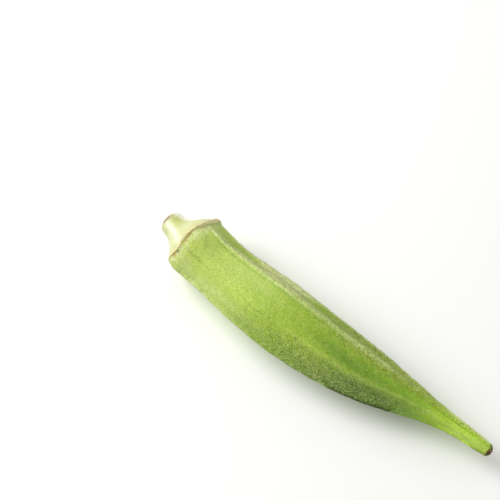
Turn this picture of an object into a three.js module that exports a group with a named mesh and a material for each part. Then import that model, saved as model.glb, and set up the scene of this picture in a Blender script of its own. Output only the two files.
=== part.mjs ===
// An okra pod, as picked: a long, gently bowed pod with seven ribs, the cap and stub of stem that it
// hung from, and the scar that its calyx left round the cap. It grew as one piece, so it is one solid.
// It lies on its side, resting on two ribs and on the scar's rim.
// Millimetres. +Z is up and +X runs along the pod, from the cut stem to the tip.

import * as THREE from 'three';

const { clamp, degToRad, euclideanModulo, smoothstep } = THREE.MathUtils;

// ---- Driving dimensions ----

// Places are distances along X from the cut end of the stem.
const podLength = 112.7;
const scarPlace = 10.6;
const bellyPlace = 43.5;
const bellyRadius = 9.75;

// Radius along the pod, to the corners of its seven-sided section. [place, radius]
const stemRadii = [[0, 2.75], [0.4, 3.3], [1.5, 3.65], [4, 4.2], [6.6, 5.8], [8.6, 7.75]];
const bodyRadii = [
  [10.2, 8.9], [12.5, 9.25], [15.5, 8.95], [20, 8.6], [26, 8.8], [35, 9.4],
  [bellyPlace, bellyRadius], [54, 9.4], [62, 8.9], [70, 8.05], [78, 6.7],
];
const beakRadii = [
  [86, 4.95], [93, 3.55], [99, 2.7], [106, 2.2], [110.4, 2.0], [112.2, 1.5], [podLength, 0.8],
];
const radii = [...stemRadii, ...bodyRadii, ...beakRadii];

// How far the pod's middle line bows sideways, along Y. [place, offset]
const bow = [
  [0, -0.05], [6, -1.15], [13, -2.3], [24, -3.9], [38, -5.15], [52, -5.7],
  [66, -5.35], [78, -4.3], [90, -2.75], [100, -1.95], [podLength, -1.9],
];

// Height of the middle line above what the pod lies on. [place, height]
const rise = [
  [0, 8.75], [12, 9.05], [24, 8.85], [bellyPlace, 8.9], [60, 8.45], [80, 7.6], [100, 6.6], [podLength, 6.2],
];

// Each rib's angle round the middle line, from straight up towards +Y, in degrees, and its height.
const ribs = [
  { angle: 26, height: 0.75 },
  { angle: 67, height: 0.55 },
  { angle: 110, height: 0.5 },
  { angle: 152.5, height: 0.5 },
  { angle: 207.5, height: 0.5 },
  { angle: 271, height: 0.5 },
  { angle: 330, height: 0.3 },
];
const ribHalfWidth = 0.95; // at the belly
const grooveOffset = 1.9; // from a rib's crest to the groove at its foot, at the belly
const grooveHalfWidth = 0.8;
const grooveShare = 0.28; // of the rib's height
const facetFlatness = 0.74; // 0 is a round section, 1 has flat facets between the ribs
const beakFlatness = 0.8;

// The calyx scar is a thin raised rim that leans round the pod and wavers.
const scarHeight = 0.35;
const scarFlare = 0.35; // added to its height where it curls outwards most
const scarFlareAngle = 66;
const scarHalfWidth = 0.45;
const scarLean = 1.3;
const scarLeanAngle = 53; // where the rim lies furthest towards the tip, in degrees
const scarWaver = 0.16;
const scarWaves = 5;

// ---- Where the surface is sampled ----

const capRows = [0, 0.45, 1.5, 2.8, 4.2, 5.6, 7.0, 8.2, 9.2];
const scarRows = [-0.8, -0.4, 0, 0.4, 0.8].map((step) => scarPlace + step);
const shoulderRows = [12.4, 13.8, 15.6, 17.8];
const bodyRows = Array.from({ length: 27 }, (_, i) => 20.6 + 3.2 * i);
const tipRows = [106.8, 109, 110.6, 111.6, 112.3, podLength];
const rows = [...capRows, ...scarRows, ...shoulderRows, ...bodyRows, ...tipRows];

// Columns between one rib's crest and the next, as shares of the gap, close together near the ribs.
const columnShares = [0, 0.08, 0.16, 0.25, 0.36, 0.5, 0.64, 0.75, 0.84, 0.92];

// ---- The surface ----

// The value at a place on the smooth curve through a list of [place, value] points.
function along(points, place) {
  const last = points.length - 1;
  const gap = (k) => points[k + 1][0] - points[k][0];
  const slope = (k) => (points[k + 1][1] - points[k][1]) / gap(k);
  const tangent = (k) => {
    if (k === 0) return slope(0);
    if (k === last) return slope(last - 1);
    return (slope(k - 1) * gap(k) + slope(k) * gap(k - 1)) / (gap(k - 1) + gap(k));
  };
  let k = 0;
  while (k < last - 1 && place > points[k + 1][0]) k += 1;
  const t = (place - points[k][0]) / gap(k);
  const start = (1 + 2 * t) * (1 - t) ** 2 * points[k][1] + t * (1 - t) ** 2 * gap(k) * tangent(k);
  const end = t * t * (3 - 2 * t) * points[k + 1][1] + t * t * (t - 1) * gap(k) * tangent(k + 1);
  return start + end;
}

function middleAt(place) {
  return new THREE.Vector3(place, along(bow, place), along(rise, place));
}

// The directions across the pod at a place: side is level, towards +Y, and up is square to it.
function acrossAt(place) {
  const step = 0.05;
  const forward = middleAt(place + step).sub(middleAt(place - step)).normalize();
  const side = new THREE.Vector3(0, 0, 1).cross(forward).normalize();
  return { side, up: forward.clone().cross(side) };
}

// A rounded bump of height 1 over a half width.
function bump(distance, halfWidth) {
  return Math.exp(-((distance / halfWidth) ** 2));
}

function ribProfile(distance, scale) {
  const crest = bump(distance, ribHalfWidth * scale);
  const foot = bump(Math.abs(distance) - grooveOffset * scale, grooveHalfWidth * scale);
  return crest - grooveShare * foot;
}

// Radius at a place, a share of the way from one rib to the next.
function radiusAt(place, rib, nextRib, share) {
  const radius = along(radii, place);
  const gap = degToRad(euclideanModulo(nextRib.angle - rib.angle, 360));
  const onBody = smoothstep(place, scarPlace - 0.4, 20);
  const beak = smoothstep(place, 60, 90);
  const tip = smoothstep(place, 104, podLength);
  const flatness = onBody * (facetFlatness + (beakFlatness - facetFlatness) * beak) * (1 - 0.5 * tip);
  const chord = Math.cos(gap / 2) / Math.cos(gap * (share - 0.5));

  // Ribs narrow with the pod, and sink away on the beak and at the tip.
  const scale = (radius / bellyRadius) ** 0.7;
  const ribFade = smoothstep(place, scarPlace - 0.8, 18) * (1 - 0.65 * smoothstep(place, 78, 100))
    * (1 - smoothstep(place, 106, podLength));
  const fromRib = gap * share * radius;
  const fromNextRib = gap * (1 - share) * radius;
  const relief = rib.height * ribProfile(fromRib, scale) + nextRib.height * ribProfile(fromNextRib, scale);
  return radius * (1 - flatness * (1 - chord)) + ribFade * relief;
}

// How far the scar's rim is shifted towards the tip at an angle round the pod.
function scarShift(angle) {
  const lean = scarLean * Math.cos(angle - degToRad(scarLeanAngle));
  return lean + scarWaver * Math.sin(scarWaves * angle);
}

// The rim's height at an angle: it curls outwards on one side.
function scarRim(angle) {
  const turned = Math.cos(angle - degToRad(scarFlareAngle));
  return scarHeight + scarFlare * Math.max(turned, 0) ** 2;
}

// A point of the skin. Rows near the scar follow its lean, and what would dip below the surface
// that the pod lies on is pressed flat.
function skinPoint(row, rib, nextRib, share) {
  const gap = euclideanModulo(nextRib.angle - rib.angle, 360);
  const angle = degToRad(rib.angle + gap * share);
  const follow = smoothstep(row, 2, scarPlace) * (1 - smoothstep(row, scarPlace, 22));
  const place = clamp(row + scarShift(angle) * follow, 0, podLength);
  const rim = scarRim(angle) * bump(row - scarPlace, scarHalfWidth);
  const radius = radiusAt(place, rib, nextRib, share) + rim;
  const { side, up } = acrossAt(place);
  const point = middleAt(place);
  point.addScaledVector(side, radius * Math.sin(angle));
  point.addScaledVector(up, radius * Math.cos(angle));
  point.z = Math.max(point.z, 0);
  return point;
}

function podGeometry() {
  const positions = [];
  for (const row of rows) {
    ribs.forEach((rib, i) => {
      const nextRib = ribs[(i + 1) % ribs.length];
      for (const share of columnShares) {
        positions.push(...skinPoint(row, rib, nextRib, share));
      }
    });
  }
  const columns = ribs.length * columnShares.length;
  const indices = [];
  for (let r = 0; r < rows.length - 1; r += 1) {
    for (let c = 0; c < columns; c += 1) {
      const next = (c + 1) % columns;
      const [a, b] = [r * columns + c, r * columns + next];
      const [d, e] = [a + columns, b + columns];
      indices.push(a, e, b, a, d, e);
    }
  }

  // The cut face of the stem and the blunt end of the tip close the skin.
  const lastRow = (rows.length - 1) * columns;
  const stemCentre = rows.length * columns;
  const tipCentre = stemCentre + 1;
  positions.push(...middleAt(0), ...middleAt(podLength));
  for (let c = 0; c < columns; c += 1) {
    const next = (c + 1) % columns;
    indices.push(stemCentre, c, next, tipCentre, lastRow + next, lastRow + c);
  }

  const geometry = new THREE.BufferGeometry();
  geometry.setAttribute('position', new THREE.Float32BufferAttribute(positions, 3));
  geometry.setIndex(indices);
  geometry.computeVertexNormals();
  return geometry;
}

// ---- The part ----

const podSkin = new THREE.MeshStandardMaterial({ color: 0x8fb23f, roughness: 0.6, metalness: 0 });

const geometry = podGeometry();
geometry.computeBoundingBox();
const centre = geometry.boundingBox.getCenter(new THREE.Vector3());

const pod = new THREE.Mesh(geometry, podSkin);
pod.name = 'okra_pod';
pod.position.set(-centre.x, -centre.y, 0);

const okraPod = new THREE.Group();
okraPod.add(pod);

export default okraPod;
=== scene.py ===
import itertools
import math

import bpy
import numpy as np
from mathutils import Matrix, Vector


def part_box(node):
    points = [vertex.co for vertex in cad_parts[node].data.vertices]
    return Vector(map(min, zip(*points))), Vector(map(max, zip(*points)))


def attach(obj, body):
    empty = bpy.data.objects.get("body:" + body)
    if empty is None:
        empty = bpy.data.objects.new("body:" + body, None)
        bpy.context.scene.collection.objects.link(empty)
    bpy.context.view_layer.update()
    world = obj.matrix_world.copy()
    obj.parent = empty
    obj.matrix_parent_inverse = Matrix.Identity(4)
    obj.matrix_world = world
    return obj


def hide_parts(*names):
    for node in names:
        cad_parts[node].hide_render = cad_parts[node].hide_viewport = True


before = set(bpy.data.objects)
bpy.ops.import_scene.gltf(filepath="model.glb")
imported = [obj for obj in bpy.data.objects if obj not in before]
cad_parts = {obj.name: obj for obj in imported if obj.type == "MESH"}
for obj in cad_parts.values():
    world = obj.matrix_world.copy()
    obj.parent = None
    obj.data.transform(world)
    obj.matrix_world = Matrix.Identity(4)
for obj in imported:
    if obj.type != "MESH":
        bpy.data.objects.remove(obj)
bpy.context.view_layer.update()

mm = 0.001

# how fuzzy a plain rib is: place, strength, and where the fuzz starts and ends across the rib
plainFuzz = [(12, 0.7, -1.2, 1.2), (50, 0.8, -1.4, 1.4), (70, 0.5, -0.9, 0.9), (98, 0, -0.8, 0.8)]

# the pod's shape, in millimetres and degrees: places run along X from the cut end of the stem,
# and angles run round the pod's middle line, from straight up towards +Y
pod = {
    "length": 112.7,
    "scarPlace": 10.6,
    "bellyRadius": 9.75,
    "radii": [
        (0, 2.75), (0.4, 3.3), (1.5, 3.65), (4, 4.2), (6.6, 5.8), (8.6, 7.75),
        (10.2, 8.9), (12.5, 9.25), (15.5, 8.95), (20, 8.6), (26, 8.8), (35, 9.4),
        (43.5, 9.75), (54, 9.4), (62, 8.9), (70, 8.05), (78, 6.7),
        (86, 4.95), (93, 3.55), (99, 2.7), (106, 2.2), (110.4, 2.0), (112.2, 1.5), (112.7, 0.8),
    ],
    "bow": [
        (0, -0.05), (6, -1.15), (13, -2.3), (24, -3.9), (38, -5.15), (52, -5.7),
        (66, -5.35), (78, -4.3), (90, -2.75), (100, -1.95), (112.7, -1.9),
    ],
    "rise": [
        (0, 8.75), (12, 9.05), (24, 8.85), (43.5, 8.9), (60, 8.45), (80, 7.6), (100, 6.6), (112.7, 6.2),
    ],
    # the far side of a rib is the one with the larger angles; start and full say where it rises; a rib's
    # fuzz lean lays its fuzz heavier towards one side, as painted light on the side that falls in shade
    "ribs": [
        {
            "angle": 26, "height": 0.58, "nearWidth": 0.5, "farRise": 0.15, "farPower": 3,
            "footGain": 0.3, "creaseGain": 1.4, "fuzzLightLean": 0.12,
            "farWidths": [
                (12, 0.9), (18, 2.0), (30, 2.6), (36, 3.8), (42, 3.8), (47, 2.9), (56, 2.1), (66, 1.7),
                (76, 1.3), (84, 0.8), (112, 0.7),
            ],
            # the fuzz is laid wider and stronger over the far flank, partly as painted light where that
            # flank falls in shade
            "fuzz": [
                (11.5, 0.8, -0.5, 1), (14, 0.8, -0.5, 1.5), (18, 0.85, -0.35, 1.3), (22, 0.9, -0.3, 1.5),
                (26, 0.9, -0.3, 2.1), (30, 1, -0.3, 2.9), (38, 1.15, -0.3, 3.8), (42, 1.05, -0.35, 3.3),
                (46, 0.85, -0.4, 3), (50, 0.58, -0.45, 2.8), (54, 0.42, -0.5, 2), (58, 0.42, -0.5, 0.75),
                (66, 0.46, -0.8, 0.6), (78, 0.44, -0.6, 0.8), (81, 0.2, -0.6, 0.9), (96, 0, -0.5, 0.9),
            ],
        },
        {
            "angle": 67, "height": 0.55, "nearWidth": 1.6, "footGain": 0.3, "creaseGain": 0.2,
            "fuzzLightLean": -0.6,
            # the fuzz is laid stronger over the near flank, partly as painted light where that flank falls
            # in shade
            "fuzz": [
                (12, 0.3, -0.9, 1), (25, 0.35, -1, 1.3), (29, 0.75, -1.2, 1.3), (33, 1.1, -2.8, 1.5),
                (38, 1.4, -3.6, 1.5), (42, 1.25, -3.5, 1.4), (47, 0.9, -2.6, 1.3), (52, 0.4, -0.9, 1.2),
                (64, 0.3, -0.8, 1), (90, 0.1, -0.8, 0.8),
            ],
        },
        {"angle": 110, "height": 0.5, "fuzz": plainFuzz},
        {"angle": 152.5, "height": 0.5, "fuzz": plainFuzz},
        {"angle": 207.5, "height": 0.5, "fuzz": plainFuzz},
        {
            "angle": 271, "height": 0.5,
            "fuzz": [
                (12, 0.5, -1, 1), (22, 0.55, -1.2, 1.2), (34, 0.25, -1.2, 1.2), (42, 0.05, -1, 1),
                (98, 0, -1, 1),
            ],
        },
        {
            "angle": 330, "height": 0.22, "start": 36, "full": 62,
            "sway": [(50, 1), (57, 1), (66, -3), (72, -4), (79, -4), (86, 0), (100, 1)],
            "fuzz": [(36, 0.1, -0.9, 0.9), (90, 0.1, -0.9, 0.9)],
        },
    ],
    "ribStart": (9.8, 18),
    "ribFade": (78, 100),
    "ribLoss": 0.65,  # the share of a rib's height that is gone on the beak
    "tipFade": (106, 112.7),
    "ribHalfWidth": 0.95,
    "ribTaper": 0.7,  # the power of the radius that the ribs' widths follow
    "farRiseStart": (13, 24),
    "fuzzStart": (10.9, 13.5),
    "grooveOffset": 1.9,
    "grooveHalfWidth": 0.8,
    "grooveShare": 0.28,
    "facetFlatness": 0.74,
    "beakFlatness": 0.8,
    "flatStart": (10.2, 20),
    "beakStart": (60, 90),
    "tipStart": (104, 112.7),
    "tipRounding": 0.5,
    # one corner is rounder near the cap: its angle, how far it is rounded, and where that ends
    "softCorner": {"angle": 330, "turn": 13, "span": (28, 62), "reach": 0.6},
    "scarHeight": 0.35,
    "scarFlare": 0.35,
    "scarFlareAngle": 66,
    "scarHalfWidth": 0.45,
    "scarLean": 1.3,
    "scarLeanAngle": 53,
    "scarWaver": 0.16,
    "scarWaves": 5,
    # where the scar strays further: angle, shift and half width in degrees
    "scarStrays": [(8, -0.75, 24), (318, 0.6, 17), (205, 0.4, 20), (130, -0.3, 15)],
}

# the fine relief that the skin has on top of that shape, and how closely its mesh follows it
relief = {
    "columns": 280,
    "bodySpan": (pod["scarPlace"], 20, 100, 111),
    # close rows on the cap, round the scar and at the tip, and wider ones down the body:
    # where each spacing starts, and the spacing
    "rowSteps": [(0, 0.26), (9.1, 0.14), (12.2, 0.26), (18, 0.42), (108.5, 0.26)],
    "lastGap": 0.05,
    "lumpHeight": 0.09,
    "lumpSize": 4.5,
    "dimpleHeight": 0.035,
    "dimpleSize": 1.3,
    "streakHeight": 0.05,
    "streakWidth": 0.8,
    "beakStreaks": (70, 96),
    "ribWaver": 1.2,
    "ribWaverLength": 17,
    "ribRoughness": 0.11,
    "ribGrain": 0.9,
    "creaseOffset": 0.2,  # beyond a rib's half width
    "creaseDepth": 0.11,
    "creaseRibHeight": 0.75,  # the ribs' own creases are deeper or shallower in this proportion
    "creaseShares": (0.8, 0.25),  # on a rib's near side and its far side
    "creaseHalfWidth": 0.28,
    "creaseFade": (78, 96),
    # single creases: angle and place where each starts and ends, and its depth
    "creases": [
        (329, 12.2, 325, 21.5, 0.055), (325, 24, 329, 52, 0.03), (320, 73, 328, 90, 0.09),
        (304, 92, 322, 109, 0.07), (13, 86, 8, 109, 0.08), (28, 90, 31, 109, 0.04),
        (279, 12.5, 276, 27, 0.08), (48, 80, 49, 108, 0.06), (90, 14, 88, 30, 0.07),
        (91, 76, 90, 108, 0.07), (131, 13, 133, 24, 0.08), (130, 78, 131, 108, 0.07),
        (181, 12, 178, 26, 0.09), (180, 76, 181, 108, 0.08), (240, 13, 237, 29, 0.08),
        (239, 77, 240, 108, 0.07),
    ],
    "seed": 11,
}


def smoothStep(low, high, value):
    t = np.clip((value - low) / (high - low), 0, 1)
    return t * t * (3 - 2 * t)


def plateau(start, full, fading, end, value):
    # rises from start to full, and falls again from fading to end
    return smoothStep(start, full, value) * (1 - smoothStep(fading, end, value))


def bump(distance, halfWidth):
    return np.exp(-((distance / halfWidth) ** 2))


def unit(vectors):
    return vectors / (np.linalg.norm(vectors, axis=1)[:, None] + 1e-12)


def turnFrom(angles, degrees):
    # the turn from an angle in degrees to these ones, the short way round
    return (angles - np.radians(degrees) + math.pi) % (2 * math.pi) - math.pi


def ringAngles(columns):
    return np.arange(columns) / columns * 2 * math.pi


def along(points, places):
    # the values at these places on the smooth curve through a list of (place, value) points
    px, py = np.array(points, float).T
    gaps = np.diff(px)
    slopes = np.diff(py) / gaps
    tangents = np.empty(len(px))
    tangents[0], tangents[-1] = slopes[0], slopes[-1]
    tangents[1:-1] = (slopes[:-1] * gaps[1:] + slopes[1:] * gaps[:-1]) / (gaps[:-1] + gaps[1:])
    k = np.clip(np.searchsorted(px, places, side="right") - 1, 0, len(gaps) - 1)
    t = (places - px[k]) / gaps[k]
    start = (1 + 2 * t) * (1 - t) ** 2 * py[k] + t * (1 - t) ** 2 * gaps[k] * tangents[k]
    end = t * t * (3 - 2 * t) * py[k + 1] + t * t * (t - 1) * gaps[k] * tangents[k + 1]
    return start + end


def onLines(table, places):
    # the values at these places on straight lines through a table, for each column after the first
    px, *columns = np.array(table, float).T
    return [np.interp(places, px, column) for column in columns]


def softNoise(points, size, seed):
    # smooth random values from -1 to 1 that change over about this size
    cells = points / size + seed * 7.31
    base = np.floor(cells)
    f = cells - base
    f = f * f * (3 - 2 * f)
    total = np.zeros(len(points))
    for corner in itertools.product((0, 1), repeat=3):
        lattice = base + np.array(corner)
        draw = np.sin(lattice @ np.array([127.1, 311.7, 74.7]) + seed) * 43758.5453
        weight = np.prod(np.where(np.array(corner), f, 1 - f), axis=1)
        total += weight * (2 * (draw - np.floor(draw)) - 1)
    return total


def roughNoise(points, size, fineSize, seed):
    # the same with a finer noise on top
    return softNoise(points, size, seed) + 0.6 * softNoise(points, fineSize, seed + 1)


def middleAt(places):
    return np.stack([places, along(pod["bow"], places), along(pod["rise"], places)], 1)


def outwardAt(places, angles):
    # straight out from the pod's middle line
    step = 0.05
    forward = unit(middleAt(places + step) - middleAt(places - step))
    side = unit(np.cross([0.0, 0.0, 1.0], forward))  # level, and up is square to it
    up = np.cross(forward, side)
    return side * np.sin(angles)[:, None] + up * np.cos(angles)[:, None]


def plainRadiusAt(places):
    return along(pod["radii"], places)


def scarShift(angles):
    shift = pod["scarLean"] * np.cos(angles - math.radians(pod["scarLeanAngle"]))
    shift += pod["scarWaver"] * np.sin(pod["scarWaves"] * angles)
    for angle, stray, halfWidth in pod["scarStrays"]:
        shift += stray * bump(turnFrom(angles, angle), math.radians(halfWidth))
    return shift


def scarRim(angles):
    turned = np.cos(angles - math.radians(pod["scarFlareAngle"]))
    return pod["scarHeight"] + pod["scarFlare"] * np.maximum(turned, 0) ** 2


def straightAt(places, angles):
    # the same points on a straightened pod, for patterns that follow the pod
    radius = plainRadiusAt(np.clip(places, 0, pod["length"]))
    return np.stack([radius * np.cos(angles), radius * np.sin(angles), places], 1)


def ribDistances(places, angles):
    # for each rib, the distance round the pod from its crest, and the scale that ribs have there
    radius = plainRadiusAt(places)
    scale = (radius / pod["bellyRadius"]) ** pod["ribTaper"]
    distances = []
    for i, rib in enumerate(pod["ribs"]):
        path = [places / relief["ribWaverLength"], np.full(len(places), i * 3.7), np.zeros(len(places))]
        waver = relief["ribWaver"] * softNoise(np.stack(path, 1), 1, relief["seed"] + i)
        if "sway" in rib:
            waver += onLines(rib["sway"], places)[0]
        distances.append(turnFrom(angles, rib["angle"] + waver) * radius)
    return np.array(distances), scale


def ribFuzzAt(places, angles):
    # how fuzzy the skin is at these points, from the ribs near them
    distances, _ = ribDistances(places, angles)
    total = np.zeros(len(places))
    start, full = pod["fuzzStart"]
    for distance, rib in zip(distances, pod["ribs"]):
        fade = smoothStep(rib.get("start", start), rib.get("full", full), places)
        strength, near, far = onLines(rib["fuzz"], places)
        share = (2 * distance - near - far) / (far - near)
        # the lean lays the fuzz heavier towards one side of the rib, as painted light on the side that falls
        # in shade
        across = np.exp(-np.abs(share) ** 6) * (1 + rib.get("fuzzLightLean", 0) * np.clip(share, -1, 1))
        total = np.maximum(total, across * fade * strength)
    return total


def ribFadesAt(places):
    # how much of each rib's height is left along the pod
    start, full = pod["ribStart"]
    fade = 1 - pod["ribLoss"] * smoothStep(*pod["ribFade"], places)
    fade *= 1 - smoothStep(*pod["tipFade"], places)
    starts = [smoothStep(rib.get("start", start), rib.get("full", full), places) for rib in pod["ribs"]]
    return np.array(starts) * fade


def ribWidthAt(rib, places, distance, scale):
    # a rib's half width on the side where each point lies: some are wider on their far side
    near = rib.get("nearWidth", pod["ribHalfWidth"]) * scale
    if "farWidths" not in rib:
        return near
    return np.where(distance > 0, onLines(rib["farWidths"], places)[0], near)


def sectionAt(places, angles):
    # the radius of the seven-sided section, before its ribs
    radius = plainRadiusAt(places)
    ribAngles = np.radians([rib["angle"] for rib in pod["ribs"]])
    nextAngles = np.append(ribAngles[1:], ribAngles[0] + 2 * math.pi)
    turn = (angles - ribAngles[0]) % (2 * math.pi) + ribAngles[0]
    k = np.clip(np.searchsorted(ribAngles, turn, side="right") - 1, 0, len(ribAngles) - 1)
    half = (nextAngles[k] - ribAngles[k]) / 2
    fromCorner = half - np.abs(turn - ribAngles[k] - half)
    soft = pod["softCorner"]
    rounded = np.radians(soft["turn"]) * (1 - smoothStep(*soft["span"], places))
    rounded *= bump(turnFrom(angles, soft["angle"]), soft["reach"])
    chord = np.cos(half) / np.cos(half - np.hypot(fromCorner, rounded))
    beakward = smoothStep(*pod["beakStart"], places)
    flatness = pod["facetFlatness"] + (pod["beakFlatness"] - pod["facetFlatness"]) * beakward
    flatness *= smoothStep(*pod["flatStart"], places)
    flatness *= 1 - pod["tipRounding"] * smoothStep(*pod["tipStart"], places)
    return radius * (1 - flatness * (1 - chord))


def radiusAt(places, angles):
    radius = sectionAt(places, angles)
    distances, scale = ribDistances(places, angles)
    farRise = smoothStep(*pod["farRiseStart"], places)
    for distance, rib, fade in zip(distances, pod["ribs"], ribFadesAt(places)):
        width = ribWidthAt(rib, places, distance, scale)
        power = np.where(distance > 0, rib.get("farPower", 2), 2)
        crest = np.exp(-np.abs(distance / width) ** power)
        crest *= 1 + rib.get("farRise", 0) * np.clip(distance / width, 0, 1) * farRise
        footOffset = width + (pod["grooveOffset"] - pod["ribHalfWidth"]) * scale
        foot = bump(np.abs(distance) - footOffset, pod["grooveHalfWidth"] * scale)
        radius += rib["height"] * fade * (crest - foot * pod["grooveShare"] * rib.get("footGain", 1))
    return radius


def creasesAt(places, angles):
    # how deep the fine creases are at these points: beside each rib, and the single ones
    distances, scale = ribDistances(places, angles)
    halfWidth = relief["creaseHalfWidth"]
    radius = plainRadiusAt(places)
    broken = 0.6 + 0.5 * softNoise(straightAt(places, angles) * [1, 1, 0.4], 2.2, relief["seed"] + 5)
    near, far = relief["creaseShares"]
    left = 1 - smoothStep(*relief["creaseFade"], places)
    depth = np.zeros(len(places))
    for distance, rib, fade in zip(distances, pod["ribs"], ribFadesAt(places)):
        gain = relief["creaseDepth"] * rib.get("creaseGain", 1) * rib["height"] / relief["creaseRibHeight"]
        offset = ribWidthAt(rib, places, distance, scale) + relief["creaseOffset"] * scale
        both = near * bump(distance + offset, halfWidth) + far * bump(distance - offset, halfWidth)
        depth += gain * both * fade * left
    for startAngle, start, endAngle, end, single in relief["creases"]:
        share = np.clip((places - start) / (end - start), 0, 1)
        turn = turnFrom(angles, startAngle + (endAngle - startAngle) * share)
        fade = plateau(start - 1, start + 1.5, end - 4, end, places)
        depth += single * fade * bump(turn * radius, halfWidth * 0.9)
    return depth * np.clip(broken, 0.2, 1.1)


def reliefAt(places, angles):
    # lumps over the seeds, small dimples, fine lengthwise lines, roughened ribs and creases
    straight = straightAt(places, angles)
    seed = relief["seed"]
    onBody = plateau(*relief["bodySpan"], places)
    lumps = softNoise(straight * [1, 1, 0.8], relief["lumpSize"], seed)
    dimples = softNoise(straight, relief["dimpleSize"], seed + 1)
    streaks = softNoise(straight * [1, 1, 0.06], relief["streakWidth"], seed + 2)
    streaks += 0.6 * softNoise(straight * [1, 1, 0.05], relief["streakWidth"] * 0.5, seed + 3)
    streakGain = 0.3 + 0.9 * smoothStep(*relief["beakStreaks"], places) + 0.8 * bump(places - 13, 4)
    distances, scale = ribDistances(places, angles)
    crest = np.max(bump(distances, 0.9 * scale) * ribFadesAt(places), axis=0)
    height = relief["lumpHeight"] * lumps * onBody
    height += relief["dimpleHeight"] * dimples * (0.3 + 0.7 * onBody)
    height += relief["streakHeight"] * streaks * streakGain * smoothStep(0.3, 3, places)
    grain = softNoise(straight * [1, 1, 0.55], relief["ribGrain"], seed + 4)
    height += relief["ribRoughness"] * crest * grain
    return height - creasesAt(places, angles) * onBody


def skinAt(rows, angles, fine=True):
    # points of the skin, with the rows near the scar following its lean
    scarPlace = pod["scarPlace"]
    follow = plateau(2, scarPlace, scarPlace, 22, rows)
    places = np.clip(rows + scarShift(angles) * follow, 0, pod["length"])
    radius = radiusAt(places, angles) + scarRim(angles) * bump(rows - scarPlace, pod["scarHalfWidth"])
    if fine:
        radius += reliefAt(places, angles)
    points = middleAt(places) + outwardAt(places, angles) * radius[:, None]
    points[:, 2] = np.maximum(points[:, 2], 0)
    return points, places


def gridOf(rows, angles):
    return np.repeat(rows, len(angles)), np.tile(angles, len(rows))


def boxShift():
    # what moves the pod's own frame to the row's: the plain surface's box is centred on the CAD node's
    low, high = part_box("okra_pod")
    rows, angles = gridOf(np.linspace(0, pod["length"], 226), np.radians(np.arange(360)))
    points, _ = skinAt(rows, angles, fine=False)
    centre = (points.min(0) + points.max(0)) / 2 * mm
    return np.array([(low.x + high.x) / 2 - centre[0], (low.y + high.y) / 2 - centre[1], 0.0])


podShift = boxShift()


def meshObject(name, points, faces, materials=(), smooth=True):
    # points in metres
    mesh = bpy.data.meshes.new(name)
    mesh.from_pydata(points.tolist(), [], faces)
    mesh.polygons.foreach_set("use_smooth", [smooth] * len(mesh.polygons))
    for material in materials:
        mesh.materials.append(material)
    mesh.update()
    piece = bpy.data.objects.new(name, mesh)
    bpy.context.scene.collection.objects.link(piece)
    return piece


def podPiece(name, points, faces, materials):
    # points in the pod's own frame
    return meshObject(name, points * mm + podShift, faces, materials)


def tubeFaces(rowCount, columns, startClosed):
    # four-sided faces between the rows of a tube, and a face that closes its end, or both ends
    grid = np.arange(rowCount * columns).reshape(rowCount, columns)
    beside = np.roll(grid, -1, axis=1)
    faces = np.stack([grid[:-1], grid[1:], beside[1:], beside[:-1]], 2).reshape(-1, 4).tolist()
    start = [grid[0].tolist()] if startClosed else []
    return faces + start + [grid[-1][::-1].tolist()]


def paint(piece, name, values):
    # a number, or three, at each point of the mesh, that its material reads by name
    values = np.asarray(values, float)
    kind, field = ("FLOAT_VECTOR", "vector") if values.ndim == 2 else ("FLOAT", "value")
    layer = piece.data.attributes.new(name, kind, "POINT")
    layer.data.foreach_set(field, values.ravel())


def srgb(code):
    # a linear colour from a hex code such as "#8fb33a"
    parts = [int(code[i:i + 2], 16) / 255 for i in (1, 3, 5)]
    return tuple(p / 12.92 if p <= 0.04045 else ((p + 0.055) / 1.055) ** 2.4 for p in parts) + (1.0,)


class NodeDesk:
    # adds nodes to one tree and links them
    def __init__(self, tree):
        self.tree = tree

    def add(self, kind, inputs=None, **settings):
        node = self.tree.nodes.new(kind)
        for key, value in settings.items():
            setattr(node, key, value)
        for key, value in (inputs or {}).items():
            self.feed(node.inputs[key], value)
        return node

    def feed(self, socket, value):
        if isinstance(value, bpy.types.NodeSocket):
            self.tree.links.new(value, socket)
        else:
            socket.default_value = value

    def attribute(self, name, output="Fac"):
        return self.add("ShaderNodeAttribute", attribute_name=name).outputs[output]

    def math(self, operation, a, b=0.0, clamp=False):
        return self.add("ShaderNodeMath", {0: a, 1: b}, operation=operation, use_clamp=clamp).outputs[0]

    def times(self, a, b, clamp=False):
        return self.math("MULTIPLY", a, b, clamp)

    def plus(self, a, b, clamp=False):
        return self.math("ADD", a, b, clamp)

    def line(self, value, slope, offset):
        return self.plus(self.times(value, slope), offset)

    def remap(self, value, low, high, toLow=0.0, toHigh=1.0):
        inputs = {"Value": value, "From Min": low, "From Max": high, "To Min": toLow, "To Max": toHigh}
        return self.add("ShaderNodeMapRange", inputs, interpolation_type="SMOOTHSTEP").outputs[0]

    def noise(self, vector, scale, detail, roughness):
        inputs = {"Vector": vector, "Scale": scale, "Detail": detail, "Roughness": roughness}
        return self.add("ShaderNodeTexNoise", inputs).outputs["Fac"]

    def vectorMath(self, operation, a, b):
        return self.add("ShaderNodeVectorMath", {0: a, 1: b}, operation=operation).outputs[0]

    def blend(self, factor, a, b):
        # for colours, the mix node's inputs are numbers 0, 6 and 7, and its output is number 2
        return self.add("ShaderNodeMix", {0: factor, 6: a, 7: b}, data_type="RGBA").outputs[2]

    def ramp(self, factor, stops):
        node = self.add("ShaderNodeValToRGB", {"Fac": factor})
        elements = node.color_ramp.elements
        while len(elements) < len(stops):
            elements.new(1.0)
        for element, (place, colour) in zip(elements, stops):
            element.position = place
            element.color = srgb(colour)
        return node.outputs["Color"]


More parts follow.
